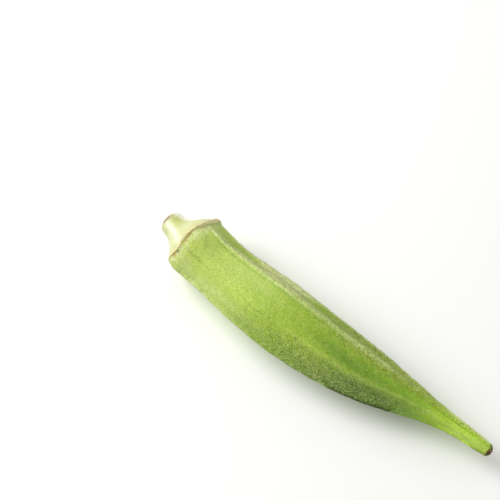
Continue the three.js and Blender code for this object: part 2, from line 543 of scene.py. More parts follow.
def startGroup(name, numbers, output):
    # a shared effect: a vector and these numbers go in, and one mask or height comes out
    tree = bpy.data.node_groups.new(name, "ShaderNodeTree")
    tree.interface.new_socket(name="Vector", in_out="INPUT", socket_type="NodeSocketVector")
    for label, value in numbers.items():
        socket = tree.interface.new_socket(name=label, in_out="INPUT", socket_type="NodeSocketFloat")
        socket.default_value = value
    tree.interface.new_socket(name=output, in_out="OUTPUT", socket_type="NodeSocketFloat")
    desk = NodeDesk(tree)
    given = desk.add("NodeGroupInput").outputs
    result = desk.add("NodeGroupOutput").inputs[output]
    return desk, given, result


def makeMottle(name, output, detail, roughness):
    # soft cloudy patches, or lines along the pod if the stretch is well off 1
    numbers = {"Scale": 0.2, "Low": 0.4, "High": 0.6, "Stretch": 1.0}
    desk, given, result = startGroup(name, numbers, output)
    stretch = desk.add("ShaderNodeCombineXYZ", {"X": 1.0, "Y": 1.0, "Z": given["Stretch"]})
    stretched = desk.vectorMath("MULTIPLY", given["Vector"], stretch.outputs[0])
    noise = desk.noise(stretched, given["Scale"], detail, roughness)
    desk.feed(result, desk.remap(noise, given["Low"], given["High"]))
    return desk.tree


def makeSpecks():
    # round specks, one in some of the cells
    desk, given, result = startGroup("specks", {"Scale": 1.5, "Size": 0.3, "Share": 0.5}, "Specks")
    cells = desk.add("ShaderNodeTexVoronoi", {"Vector": given["Vector"], "Scale": given["Scale"]})
    draw = desk.add("ShaderNodeSeparateColor", {"Color": cells.outputs["Color"]}).outputs[0]
    kept = desk.math("LESS_THAN", draw, given["Share"])
    dot = desk.remap(cells.outputs["Distance"], given["Size"], desk.times(given["Size"], 0.4))
    desk.feed(result, desk.times(dot, kept))
    return desk.tree


def makeCurls():
    # short curled lines, like fine hairs lying on the skin
    desk, given, result = startGroup("curls", {"Scale": 1.6, "Width": 0.05, "Share": 0.5}, "Lines")
    noise = desk.noise(given["Vector"], given["Scale"], 1.5, 0.5)
    gap = desk.math("ABSOLUTE", desk.math("SUBTRACT", noise, 0.5))
    line = desk.remap(gap, given["Width"], 0.0)
    elsewhere = desk.vectorMath("ADD", given["Vector"], (7.0, 3.0, 5.0))
    breaks = desk.noise(elsewhere, given["Scale"], 2.0, 0.5)
    kept = desk.remap(breaks, given["Share"], desk.plus(given["Share"], 0.08))
    desk.feed(result, desk.times(line, kept))
    return desk.tree


def makeGrain():
    # the skin's fine pebbled height
    desk, given, result = startGroup("grain", {"Fineness": 2.4}, "Height")
    pebbles = desk.add("ShaderNodeTexVoronoi", {"Vector": given["Vector"], "Scale": given["Fineness"]})
    coarse = desk.noise(given["Vector"], given["Fineness"], 5.0, 0.65)
    desk.feed(result, desk.plus(desk.times(pebbles.outputs["Distance"], -0.6), coarse))
    return desk.tree


sharedGroups = {
    "mottle": makeMottle("mottle", "Patches", 4.0, 0.6),
    "streaks": makeMottle("streaks", "Lines", 3.0, 0.55),
    "specks": makeSpecks(),
    "curls": makeCurls(),
    "grain": makeGrain(),
}


def startMaterial(name):
    material = bpy.data.materials.new(name)
    material.use_nodes = True
    return material, material.node_tree.nodes["Principled BSDF"].inputs


def plainMaterial(name, colour, roughness):
    material, surface = startMaterial(name)
    surface["Base Color"].default_value = colour
    surface["Roughness"].default_value = roughness
    return material


class SkinDesk(NodeDesk):
    # the nodes of one material: colours from its dictionary are laid over one another, then it is finished
    def __init__(self, name, looks):
        self.material, self.surface = startMaterial(name)
        super().__init__(self.material.node_tree)
        self.looks = looks
        self.straight = self.attribute("straight", "Vector")
        self.colour = None

    def named(self, name):
        # a pattern from the dictionary, or else what is painted on the mesh under this name
        if name not in self.looks["patterns"]:
            return self.attribute(name)
        kind, *numbers = self.looks["patterns"][name]
        inputs = dict(enumerate([self.straight] + numbers))
        return self.add("ShaderNodeGroup", inputs, node_tree=sharedGroups[kind]).outputs[0]

    def feed(self, socket, value):
        super().feed(socket, self.named(value) if isinstance(value, str) else value)

    def lay(self, name, mask, strength=None, clamp=False):
        # lays one of the colours over what is there, as far as the mask and its strength say
        if strength is not None:
            mask = self.times(mask, strength, clamp)
        self.colour = self.blend(mask, self.colour, srgb(self.looks[name]))

    def finish(self):
        # the colour, the plain values and the fine grain go into the surface
        self.feed(self.surface["Base Color"], self.colour)
        for name, value in self.looks["surface"].items():
            self.surface[name].default_value = value
        strength, depth = self.looks["bump"]
        bumps = self.add("ShaderNodeBump", {"Height": "grain", "Distance": depth, "Strength": strength})
        self.feed(self.surface["Normal"], bumps.outputs[0])
        return self.material


skinLooks = {
    # colours along the pod, as a share of its length
    "alongColours": [
        (0.09, "#c9d376"), (0.13, "#c0d562"), (0.22, "#b8cd61"), (0.28, "#b3cc58"), (0.34, "#abc84b"),
        (0.4, "#9bba34"), (0.5, "#92b329"), (0.64, "#81a625"), (0.76, "#85b02a"), (0.8, "#8eba2a"),
        (0.86, "#bee43a"), (0.93, "#caf040"), (0.985, "#aed23c"),
    ],
    "deepGreen": "#3a7326",
    "lightGreen": "#bccd52",
    "lineGreen": "#93c81e",
    "hazeColour": "#cbdb7c",
    "seamHighlightColour": "#b2cb30",
    "oliveGreen": "#9cb22e",
    "oliveBrown": "#525e20",
    "fuzzColour": "#eaf2b0",
    "fuzzGap": "#74903a",
    "grooveShadeGreen": "#9aba3c",
    "freshAndLitGreen": "#cade82",
    "creaseShadeGreen": "#468010",
    "dustColour": "#ccd68a",
    "frostAndLightColour": "#f0f6a6",
    "darkSpeck": "#3c4a1c",
    "underShadeGreen": "#1f2e0d",
    "dryStain": "#b39c46",
    "paleBandAndLight": "#d6dba6",
    "tipColour": "#2c1d0d",
    # each pattern is a shared group and its numbers, in the order of the group's inputs
    "patterns": {
        "clouds": ("mottle", 0.14, 0.4, 0.66),
        "blots": ("mottle", 0.55, 0.48, 0.7),
        "haze": ("mottle", 1.0, 0.46, 0.6),
        "lines": ("streaks", 0.9, 0.45, 0.7, 0.05),
        "bruises": ("mottle", 0.45, 0.46, 0.66),
        "grit": ("mottle", 2.3, 0.48, 0.58),
        "dust": ("specks", 3.1, 0.42, 0.34),
        "down": ("mottle", 2.1, 0.53, 0.64),
        "curls": ("curls", 1.7, 0.05, 0.43),
        "breaks": ("mottle", 1.9, 0.45, 0.55),
        "strands": ("streaks", 1.0, 0.45, 0.56, 2.3),
        "spots": ("specks", 0.3, 0.08, 0.3),
        "ragged": ("mottle", 1.3, 0.3, 0.7),
        "tears": ("streaks", 1.1, 0.35, 0.65, 0.2),
        "grain": ("grain", 2.2),
    },
    "roughness": 0.52,
    # plain values of the surface, and the strength and depth of its grain
    "surface": {
        "Subsurface Weight": 0.1,
        "Subsurface Radius": (0.5, 1.0, 0.25),
        "Subsurface Scale": 0.001,
        "Specular IOR Level": 0.18,
    },
    "bump": (0.8, 0.0002),
}


def makePodSkin():
    desk = SkinDesk("podSkin", skinLooks)
    clouds, grit, ragged = desk.named("clouds"), desk.named("grit"), desk.named("ragged")
    crest, hairy = desk.named("ribCrest"), desk.named("hairy")

    # cloudy greens, in patches and in lines along the pod
    desk.colour = desk.ramp("place", skinLooks["alongColours"])
    desk.lay("deepGreen", clouds, 0.16)
    desk.lay("lightGreen", "blots", 0.4)
    desk.lay("hazeColour", "haze", desk.remap("place", 0.2, 0.7, 0.34, 0.16))
    # painted shade: a darker green in the groove beside the first rib
    desk.lay("grooveShadeGreen", "grooveShadePatch")
    # fresh green patches, some of them painted light on skin that falls in shade
    desk.lay("freshAndLitGreen", "freshAndLitPatch")
    # deep green patches; those on the underside are painted shade
    desk.lay("deepGreen", "deepAndShadedPatch", 0.65)
    desk.lay("lineGreen", "lines", desk.remap("place", 0.6, 0.85, 0.08, 0.42))
    # a painted highlight along the crest of the low rib
    desk.lay("seamHighlightColour", "seamHighlight", 0.32)
    # painted shade: a darker green laid into the creases by their depth
    desk.lay("creaseShadeGreen", "creaseShade", 0.55)

    # hairy skin is browner between the hair roots, and pale at each of them; on the lower side the browning
    # is also painted shade, and the frost on the beak's top is pale hairs and painted light
    desk.lay("oliveGreen", "olive", 0.7)
    desk.lay("deepGreen", "bruises", desk.times(hairy, 0.45))
    brown = desk.plus(desk.times(grit, desk.line(hairy, 0.66, 0.25)), desk.times(hairy, 0.1), True)
    desk.lay("oliveBrown", brown, desk.math("SUBTRACT", 1.0, desk.times(crest, 0.6), True))
    desk.lay("dustColour", "down", desk.times(hairy, 0.4))
    desk.lay("dustColour", "curls", desk.line(hairy, 0.8, 0.16))
    desk.lay("dustColour", "dust", desk.plus(desk.line(hairy, 0.34, 0.31), desk.times("olive", 0.3)))
    desk.lay("frostAndLightColour", "beakFrostAndLight", desk.line(grit, -0.42, 0.58))

    # matted fuzz on the ribs, darker in its gaps, a few dark spots, and painted shade along the lower edge
    fibre = desk.plus(desk.times("breaks", 0.5), desk.times("strands", 0.5))
    desk.lay("fuzzGap", desk.times(crest, desk.math("SUBTRACT", 1.0, fibre)), 0.42)
    desk.lay("fuzzColour", crest, desk.line(fibre, 0.92, 0.17), True)
    desk.lay("darkSpeck", desk.math("MAXIMUM", desk.times("spots", 0.6), "darkMark"), 0.85)
    desk.lay("underShadeGreen", "underShadeMark", 0.9, True)

    # pale puckered skin and dry staining below the scar, with pale marks that are also painted light where
    # the scar and flange shade the skin, and the dried end of the tip
    worn = desk.line(ragged, 0.5, 0.6)
    paleReach = desk.plus("scarGap", desk.times("tears", -2.2))
    desk.lay("paleBandAndLight", desk.remap(paleReach, 0.9, -1.6, 0.0, 0.7))
    desk.lay("paleBandAndLight", "paleAndLitMark", worn, True)
    stainReach = desk.plus("scarGap", desk.times(ragged, -0.9))
    desk.lay("dryStain", desk.remap(stainReach, 0.0, -0.6, 0.0, 0.6))
    desk.lay("dryStain", "dryMark", worn, True)
    desk.lay("tipColour", desk.remap(desk.plus("place", desk.times(ragged, 0.01)), 0.995, 1.001))

    roughness = desk.plus(desk.line(clouds, 0.08, skinLooks["roughness"]), desk.times(crest, 0.25), True)
    desk.feed(desk.surface["Roughness"], roughness)
    return desk.finish()


capLooks = {
    "alongColours": [
        (0.0, "#b6b686"), (0.012, "#bcbf8c"), (0.04, "#c3c699"), (0.07, "#bfc38f"), (0.095, "#c0c085"),
    ],
    "greenVein": "#abb56c",
    "stubGreen": "#a9ae4c",
    "whiteFleshAndHighlight": "#e9e8d3",
    "scarTan": "#b8a468",
    "dryBrown": "#80643c",
    "patterns": {
        "veins": ("streaks", 0.7, 0.42, 0.7, 0.14),
        "ragged": ("mottle", 1.5, 0.3, 0.7),
        "grain": ("grain", 1.8),
    },
    "surface": {
        "Roughness": 0.4,
        "Subsurface Weight": 0.25,
        "Subsurface Radius": (0.9, 1.0, 0.5),
        "Subsurface Scale": 0.0015,
    },
    "bump": (0.5, 0.0001),
}


def makeCapFlesh():
    desk = SkinDesk("capFlesh", capLooks)
    ragged = desk.named("ragged")
    worn = desk.line(ragged, 0.5, 0.6)
    desk.colour = desk.ramp("place", capLooks["alongColours"])
    desk.lay("greenVein", "veins", 0.35)
    desk.lay("stubGreen", "stubSide", desk.times(worn, 0.8), True)
    # a painted highlight streak down the stub, and painted light on its edge that faces away from the lamp
    desk.lay("whiteFleshAndHighlight", "paleAndLitMark", desk.plus(worn, 0.1), True)
    scarReach = desk.plus(desk.times("scarGap", -1.0), desk.times(ragged, -0.7))
    desk.lay("scarTan", desk.remap(scarReach, 0.2, -0.6, 0.0, 0.6))
    desk.lay("dryBrown", "dryMark", worn, True)
    return desk.finish()


cutLooks = {
    # colours from the middle of the cut face to its edge
    "acrossColours": [
        (0.0, "#8d7a4b"), (0.25, "#5d4526"), (0.55, "#47331c"), (0.78, "#6b5130"), (0.9, "#c6b98b"),
        (1.0, "#d8d3a8"),
    ],
    "fibreColour": "#bfae7c",
    "darkColour": "#2a1c0f",
    "patterns": {
        "ragged": ("mottle", 1.6, 0.3, 0.7),
        "pits": ("mottle", 2.6, 0.5, 0.68),
        "fibres": ("specks", 2.4, 0.42, 0.6),
        "grain": ("grain", 3.0),
    },
    "surface": {"Roughness": 0.9},
    "bump": (1.0, 0.0003),
}


def makeCutEnd():
    desk = SkinDesk("cutEnd", cutLooks)
    wobble = desk.times(desk.math("SUBTRACT", "ragged", 0.5), 0.2)
    desk.colour = desk.ramp(desk.plus("cutShare", wobble, True), cutLooks["acrossColours"])
    inside = desk.remap("cutShare", 0.94, 0.8)
    desk.lay("darkColour", "pits", desk.times(inside, 0.8))
    desk.lay("fibreColour", "fibres", desk.times(inside, 0.7))
    return desk.finish()


dryLooks = {
    "toneColours": [(0.0, "#54391c"), (0.25, "#bba064"), (0.6, "#d2c48e"), (1.0, "#fcf0b8")],
    "rimDarkness": 0.0,
    "tipDarkness": 0.64,
    "patterns": {
        "blotches": ("mottle", 1.1, 0.3, 0.7),
        "fibres": ("mottle", 3.4, 0.35, 0.65),
        "grain": ("grain", 3.5),
    },
    "surface": {"Roughness": 0.85},
    "bump": (1.0, 0.0002),
}


def makeDryTissue(name, darkness):
    desk = SkinDesk(name, dryLooks)
    blotches = desk.named("blotches")
    tone = desk.plus(desk.line(blotches, 0.3, 0.4), desk.times("fibres", 0.3))
    for less in (desk.times("edge", desk.line(blotches, -0.6, 0.9)), darkness):
        tone = desk.math("SUBTRACT", tone, less, True)
    # the lift raises the tone: painted light on the standing flange, and bleaching elsewhere
    desk.colour = desk.ramp(desk.plus(tone, "lift", True), dryLooks["toneColours"])
    return desk.finish()


hairLooks = {"colour": "#cfd494", "roughness": 0.6}

podSkin, capFlesh, cutEnd = makePodSkin(), makeCapFlesh(), makeCutEnd()
dryRim = makeDryTissue("dryRim", dryLooks["rimDarkness"])
dryTip = makeDryTissue("dryTip", dryLooks["tipDarkness"])
hairFibre = plainMaterial("hairFibre", srgb(hairLooks["colour"]), hairLooks["roughness"])
print("materials made")


# soft patches: place, angle, how far each reaches along and round the pod, and strength
patches = {
    # painted shade in the groove beside the first rib
    "grooveShadePatch": [(14, 52, 3, 2.2, 0.1), (21, 52, 5, 2.2, 0.45), (28, 53, 4, 1.6, 0.35)],
    # fresh green patches, some of them painted light on skin that falls in shade
    "freshAndLitPatch": [
        (35, 9, 10, 2.6, 0.36), (12.6, 8, 2, 2.8, 0.9), (40, 54, 8, 1.9, 0.8), (12.8, 36, 2.2, 2.4, 0.6),
        (12.8, 54, 2, 1.5, 0.6), (104, 300, 7, 1.4, 0.4), (88, 283, 4, 2, 0.25),
    ],
    # deep green patches; those on the underside are painted shade
    "deepAndShadedPatch": [
        (63, 350, 5, 2.2, 0.6), (70, 343, 6, 1.6, 0.65), (79, 343, 5, 1.7, 0.3), (56, 352, 5, 2, 0.2),
        (75, 297, 11, 3.2, 1), (50, 290, 12, 3, 0.25), (76, 284, 6, 3, 0.55), (75, 305, 9, 1.6, 0.4),
        (90, 328, 3, 1, 0.3), (18, 276, 4, 2, 0.2), (66, 250, 24, 4, 1), (68, 276, 16, 1.8, 0.5),
        (38, 277, 7, 2.2, 0.36), (95, 280, 3, 1.4, 0.35), (99, 9, 8, 1.2, 0.3), (23, 54, 6, 1.2, 0.25),
        (58, 50, 8, 2, 0.25), (64, 90, 13, 3, 0.6), (38, 128, 12, 3, 0.3), (70, 133, 12, 3.4, 0.6),
        (52, 180, 16, 4, 0.4), (76, 184, 9, 3, 0.7), (66, 238, 13, 4, 0.7),
    ],
    # where fuzz spreads off the ribs
    "fuzz": [
        (28, 296, 8, 1.8, 0.3), (20, 284, 8, 1.6, 0.3), (36, 118, 10, 2.4, 0.5), (48, 160, 12, 2.2, 0.5),
        (30, 205, 10, 2.2, 0.5), (60, 104, 12, 2, 0.4),
    ],
}

# single strokes on the skin and the cap: place and angle where each starts and ends, half width, strength
marks = {
    "darkMark": [
        (11.1, 313, 11.7, 312, 0.34, 1.3), (12.8, 329, 15.9, 326, 0.32, 0.3),
        (14.4, 327, 16.8, 326, 0.6, 0.15), (17.9, 326, 18.2, 326, 0.32, 0.5), (14.6, 9, 16.4, 357, 0.7, 0.2),
        (37.3, 325, 37.4, 325, 0.24, 0.8), (43.8, 329, 43.9, 329, 0.25, 0.8),
        (49.2, 350, 49.3, 350, 0.22, 0.6), (52.7, 327, 52.8, 327, 0.25, 0.9),
        (30.2, 341, 30.3, 341, 0.24, 0.4), (62, 338, 62.1, 338, 0.23, 0.6), (33, 5, 33.1, 5, 0.22, 0.4),
        (11, 352, 11.3, 341, 0.24, 0.6), (38, 324, 41.5, 327, 0.2, 0.3), (76, 321, 86, 327, 0.2, 0.14),
        (90, 12, 104, 8, 0.2, 0.1), (24, 231, 24.3, 231, 0.28, 0.8), (41, 181, 41.2, 181, 0.26, 0.9),
        (57, 128, 57.2, 128, 0.26, 0.8),
    ],
    # painted shade: dark green strokes along the pod's lower edge, where it turns under
    "underShadeMark": [
        (11.3, 266, 15, 268, 0.9, 0.5), (42, 265, 60, 264, 0.8, 0.8), (67, 270, 83, 270, 0.9, 1),
        (72, 277, 78, 277, 1.2, 0.2), (71, 297, 79, 298, 2.2, 0.16), (88, 264, 104, 264, 0.5, 0.7),
        (108, 262, 111, 262, 0.9, 0.8),
    ],
    # pale puckers below the scar, a painted highlight down the cap's stub, and painted light on the stub's
    # far edge and on skin shaded by the flange
    "paleAndLitMark": [
        (11.2, 3, 12.3, 357, 0.5, 0.8), (11.5, 336, 13.4, 329, 0.45, 0.6), (11.4, 298, 12.4, 294, 0.6, 0.7),
        (11.6, 64, 14.5, 66, 0.35, 0.7), (11.3, 20, 13.6, 15, 0.5, 0.7), (11.4, 347, 12.4, 344, 0.5, 0.35),
        (11.5, 250, 13.2, 246, 0.5, 0.6), (11.2, 205, 13.5, 200, 0.5, 0.6), (11.4, 170, 12.8, 168, 0.5, 0.6),
        (11.2, 120, 13.2, 118, 0.5, 0.6), (1.8, 324, 6, 327, 0.95, 0.8), (6, 327, 9.2, 326, 1.1, 0.6),
        (9.2, 330, 10, 334, 0.7, 0.4), (12.5, 312, 15.5, 300, 1.8, 0.35), (37, 62, 46, 62, 0.4, 0.3),
        (20, 44, 29, 45, 0.35, 0.3), (11.5, 30, 14.5, 31, 1, 0.5), (12.6, 24, 12.8, 352, 1, 0.35),
        (0.8, 34, 6.5, 40, 0.9, 0.9), (0.8, 54, 7.5, 60, 1.3, 1.2), (3, 230, 8.5, 236, 0.8, 0.6),
        (3, 140, 8.8, 136, 0.9, 0.6),
    ],
    "dryMark": [
        (11.1, 352, 11.5, 336, 0.4, 0.8), (10.9, 308, 11.3, 299, 0.5, 0.6),
        (10.2, 345, 10.5, 330, 0.35, 0.4), (0, 20, 0.3, 60, 0.3, 0.6), (11, 13, 13, 10, 0.22, 0.5),
        (11, 20, 12.6, 18, 0.2, 0.6),
        (11, 29, 12.2, 28, 0.25, 0.5), (11.2, 240, 11.6, 226, 0.4, 0.7), (11, 160, 11.6, 150, 0.4, 0.8),
        (11, 98, 11.5, 88, 0.35, 0.6), (0.1, 286, 0.2, 318, 0.4, 0.7), (0.2, 318, 0.5, 352, 0.6, 1.5),
        (0.1, 352, 0.4, 20, 0.3, 0.8), (0.1, 150, 0.6, 190, 0.35, 0.8),
    ],
}

# what shows on one side of the pod: the angle that the side faces, how squarely a point has to face it,
# and the steps by which it grows and fades along the pod, each with its start, end and amount
sides = {
    # hairs on the lower side, whose browning is also painted shade
    "lowerHairsAndShade": {
        "angle": 274, "facing": (0.45, 0.95), "fades": [(80, 90, 1)],
        "amounts": [(25, 0), (33, 0.12), (40, 0.3), (50, 0.6), (62, 1)],
    },
    "upperHairs": {
        "angle": 56, "facing": (0.55, 0.9), "fades": [(76, 90, 0.5)],
        "grows": [(28, 45, 0.1), (50, 68, 0.65)],
    },
    "farHairs": {"angle": 180, "facing": (0.2, 0.9), "grows": [(30, 55, 0.35)], "fades": [(84, 98, 1)]},
    "olive": {"angle": 48, "facing": (0.65, 0.92), "grows": [(56, 70, 1)], "fades": [(86, 102, 1)]},
    # pale hairs on the beak's upper side, also painted light where that side faces away from the lamp
    "beakFrostAndLight": {
        "angle": 58, "facing": (0.8, 0.96), "fades": [(110.6, 111.6, 1)],
        "grows": [(74, 84, 0.24), (95, 99.5, 0.66), (105, 109, 0.4)],
    },
}
stubSide = {"angle": 358, "facing": (0.74, 0.97), "place": 3.4, "reach": 2.7}
# a painted highlight along the low rib's crest: where it runs and its half width
seamHighlight = {"span": (44, 60, 84, 94), "halfWidth": 1.2}


def patchesAt(spots, places, angles):
    radius = plainRadiusAt(places)
    total = sum(
        strength * bump(places - place, reach) * bump(turnFrom(angles, angle) * radius, width)
        for place, angle, reach, width, strength in spots)
    return np.clip(total, 0, 1)


def strokesAt(strokes, places, angles):
    radius = plainRadiusAt(places)
    total = np.zeros(len(places))
    for start, startAngle, end, endAngle, halfWidth, strength in strokes:
        span, turn = end - start, turnFrom(math.radians(endAngle), startAngle) * radius
        ahead, across = places - start, turnFrom(angles, startAngle) * radius
        share = np.clip((ahead * span + across * turn) / (span ** 2 + turn ** 2 + 1e-6), 0, 1)
        distance = np.hypot(ahead - share * span, across - share * turn)
        total = np.maximum(total, strength * bump(distance, halfWidth))
    return total


def facingAt(side, angles):
    return smoothStep(*side["facing"], np.cos(angles - math.radians(side["angle"])))


def sideAt(side, places, angles):
    if "amounts" in side:
        amount = onLines(side["amounts"], places)[0]
    else:
        amount = sum(gain * smoothStep(start, end, places) for start, end, gain in side["grows"])
    for start, end, share in side["fades"]:
        amount = amount * (1 - share * smoothStep(start, end, places))
    return amount * facingAt(side, angles)


def skinMasks(places, angles):
    # what the skin's materials read at each point, by name
    distances, scale = ribDistances(places, angles)
    masks = {name: sideAt(side, places, angles) for name, side in sides.items()}
    masks["ribCrest"] = np.maximum(ribFuzzAt(places, angles), patchesAt(patches["fuzz"], places, angles))
    hairy = sum(masks.pop(name) for name in ("lowerHairsAndShade", "upperHairs", "farHairs"))
    masks["hairy"] = np.clip(hairy + 0.12 * masks["ribCrest"], 0, 1)
    masks["seamHighlight"] = bump(distances[-1], seamHighlight["halfWidth"] * scale)
    masks["seamHighlight"] *= plateau(*seamHighlight["span"], places)
    masks["creaseShade"] = np.clip(creasesAt(places, angles) / relief["creaseDepth"], 0, 1.3)
    masks["stubSide"] = facingAt(stubSide, angles) * bump(places - stubSide["place"], stubSide["reach"])
    for name in ("grooveShadePatch", "freshAndLitPatch", "deepAndShadedPatch"):
        masks[name] = patchesAt(patches[name], places, angles)
    for name, strokes in marks.items():
        masks[name] = strokesAt(strokes, places, angles)
    return masks


def skinRows():
    starts, steps = zip(*relief["rowSteps"])
    ends = starts[1:] + (pod["length"] - relief["lastGap"],)
    return np.concatenate([np.arange(*span) for span in zip(starts, ends, steps)] + [[pod["length"]]])


# how the skin closes at the cut face and the tip: rings as shares of the edge's, from outside inwards
closing = {
    "shares": np.array([0.95, 0.9, 0.84, 0.77, 0.7, 0.62, 0.54, 0.46, 0.38, 0.3, 0.22, 0.14, 0.06]),
    "cutDepth": 0.5,
    "cutPith": 0.25,
    "tipDepth": 0.25,
    "roughness": 0.1,
    "grains": (0.55, 0.28),
    "cutSeed": 31,
    "tipSeed": 37,
}


def closingRings(ring, shares, depths, seed):
    # rings that close the skin from its edge inwards, with a rough broken surface
    middle = ring.mean(0)
    rings = []
    for share, depth in zip(shares, depths):
        inner = middle + (ring - middle) * share
        rough = roughNoise(inner, *closing["grains"], seed)
        inner[:, 0] += depth + closing["roughness"] * rough * min(1.0, (1 - share) * 5) * np.sign(depth)
        rings.append(inner)
    return rings


def layOut(piece, points, rowCount, columns):
    # a plain unrolled texture layout, with its seam underneath the pod
    steps = np.linalg.norm(np.diff(points.reshape(rowCount, columns, 3)[:, 0], axis=0), axis=1)
    heights = np.concatenate([[0.0], np.cumsum(steps)])
    margin, dot, dotAt = 0.01, 0.003, 0.004  # the closing faces are dots in the margins
    heights = margin + (1 - 2 * margin) * heights / heights[-1]
    low, left = gridOf(heights[:-1], np.arange(columns) / columns)
    high, right = gridOf(heights[1:], np.arange(1, columns + 1) / columns)
    corners = np.stack([left, low, left, high, right, high, right, low], 1).ravel().tolist()
    for turns, height in ((ringAngles(columns), dotAt), (ringAngles(columns)[::-1], 1 - dotAt)):
        ends = [0.5 + dot * np.cos(turns), height + dot * np.sin(turns)]
        corners += np.stack(ends, 1).ravel().tolist()
    piece.data.uv_layers.new(name="OFBake").data.foreach_set("uv", corners)


def makeSkin():
    columns = relief["columns"]
    rows = skinRows()
    rowGrid, angleGrid = gridOf(rows, math.pi + ringAngles(columns))  # the seam is underneath
    points, places = skinAt(rowGrid, angleGrid)

    # the cut face is dished and torn, and the tip closes over a small hollow
    shares = closing["shares"]
    tipShares = shares[2::2]
    cutDepths = closing["cutDepth"] * smoothStep(1.0, 0.5, shares) + closing["cutPith"] * bump(shares, 0.25)
    cutRings = closingRings(points[:columns], shares, cutDepths, closing["cutSeed"])[::-1]
    tipDepths = -closing["tipDepth"] * (1 - tipShares)
    tipRings = closingRings(points[-columns:], tipShares, tipDepths, closing["tipSeed"])
    allPoints = np.concatenate(cutRings + [points] + tipRings)
    before, after = len(shares), len(tipShares)
    rowCount = before + len(rows) + after
    faces = tubeFaces(rowCount, columns, True)
    piece = podPiece("okraSkin", allPoints, faces, [podSkin, capFlesh, cutEnd])

    def padded(values, atCut=0.0, atTip=0.0):
        return np.concatenate([np.full(before * columns, atCut), values, np.full(after * columns, atTip)])

    straight = straightAt(places, angleGrid)
    cutStraight = [straight[:columns] * [share, share, 1] for share in shares[::-1]]
    tipStraight = [straight[-columns:] * [share, share, 1] for share in tipShares]
    paint(piece, "straight", np.concatenate(cutStraight + [straight] + tipStraight))
    paint(piece, "place", padded(places / pod["length"], 0.0, 1.0))
    paint(piece, "scarGap", padded(rowGrid - pod["scarPlace"], -pod["scarPlace"], 100.0))
    paint(piece, "cutShare", np.repeat(np.append(shares[::-1], np.ones(len(rows) + after)), columns))
    for name, values in skinMasks(places, angleGrid).items():
        paint(piece, name, padded(values))
    layOut(piece, allPoints, rowCount, columns)

    # green skin, then the cap's flesh up to the scar, then the cut face
    rowOfFace = np.append(np.repeat(np.arange(rowCount - 1), columns), [0, rowCount])
    capRow = before + int(np.searchsorted(rows, pod["scarPlace"])) - 1
    slots = np.where(rowOfFace < before, 2, np.where(rowOfFace < capRow, 1, 0))
    piece.data.polygons.foreach_set("material_index", slots)
    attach(piece, "root")
    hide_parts("okra_pod")


makeSkin()
print("skin made")


scarMembrane = {
    "columns": 560,
    "row": 10.62,
    "band": 0.19,
    "lift": 0.05,
    "reach": 0.06,
    "flange": {"span": (4, 18, 53, 67), "lift": 0.55, "reach": 0.35},  # where it still stands up
    "raggedness": 0.4,
    # angle and width of each torn place, in degrees
    "gaps": [(292, 4), (311, 3), (325, 4), (345, 5), (1, 3), (150, 6), (222, 4)],
    "seed": 23,
}


def makeScarMembrane():
    # the thin dry skin that the fallen calyx left round the cap, with its broken edge
    shape = scarMembrane
    columns = shape["columns"]
    angles = ringAngles(columns)
    baseRows = np.full(columns, shape["row"])
    straight = straightAt(skinAt(baseRows, angles)[1], angles)
    fine = softNoise(straight, 0.4, shape["seed"] + 1)
    rough = shape["raggedness"] * (0.6 * softNoise(straight, 1.5, shape["seed"]) + fine)
    flange = shape["flange"]
    standing = plateau(*flange["span"], np.degrees(angles))
    torn = sum(bump(turnFrom(angles, angle), math.radians(width)) for angle, width in shape["gaps"])
    kept = 1 - 0.8 * np.clip(torn, 0, 1)
    band = shape["band"] * (1 + 0.5 * rough)
    lift = (shape["lift"] * (1 + rough) + flange["lift"] * standing * (1 + 0.25 * fine)) * kept
    reach = shape["reach"] * (1 + 0.5 * fine) + flange["reach"] * standing

    # steps along the pod and outwards from the skin across the membrane, and how near its edge each is
    none = np.zeros(columns)
    section = [
        (-band - 0.1, none - 0.1, 0.9),
        (-band, none + 0.035, 0.7),
        (-0.8 * band, none + 0.05 + 0.02 * fine, 0.2),
        (-0.5 * band, 0.06 + 0.15 * lift + 0.02 * fine, 0.0),
        (-0.2 * band, 0.06 + 0.5 * lift - 0.02 * fine, 0.1),
        (none, 0.05 + 0.97 * lift, 0.5),
        (0.25 * reach + 0.03, 0.04 + lift, 0.95),
        (0.5 * reach + 0.04, 0.03 + 0.62 * lift, 0.2),
        (0.8 * reach + 0.05, 0.03 + 0.25 * lift, 0.0),
        (reach + 0.06, none + 0.03, 0.6),
        (reach + 0.12, none - 0.1, 0.9),
    ]
    rings = []
    for stepAlong, stepOut, _ in section:
        on, places = skinAt(baseRows + stepAlong, angles)
        rings.append(on + outwardAt(places, angles) * stepOut[:, None])
    count = len(section)
    points = np.stack(rings, 1).reshape(-1, 3)
    points[:, 2] = np.maximum(points[:, 2], 0)
    grid = np.arange(columns * count).reshape(columns, count)
    ahead = np.roll(grid, -1, axis=0)
    faces = np.stack([grid, np.roll(grid, -1, axis=1), np.roll(ahead, -1, axis=1), ahead], 2)
    piece = podPiece("scarMembrane", points, faces.reshape(-1, 4).tolist(), [dryRim])
    bandSpan = np.repeat(band, count) * np.tile(np.linspace(0, 1, count), columns)
    paint(piece, "straight", np.repeat(straight, count, axis=0) + bandSpan[:, None] * [0, 0, 1])
    edges = np.tile([edge for _, _, edge in section], columns)
    paint(piece, "edge", edges * np.repeat(0.65 + 0.25 * standing, count))
    # the standing flange is painted pale, as painted light on a face that falls in its own shade; elsewhere
    # the membrane is bleached in patches
    bleached = 0.25 * np.clip(softNoise(straight, 1.1, shape["seed"] + 2) + 0.2, 0, 1) * (1 - standing)
    paint(piece, "lift", np.repeat(0.75 * standing + bleached, count))
    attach(piece, "root")


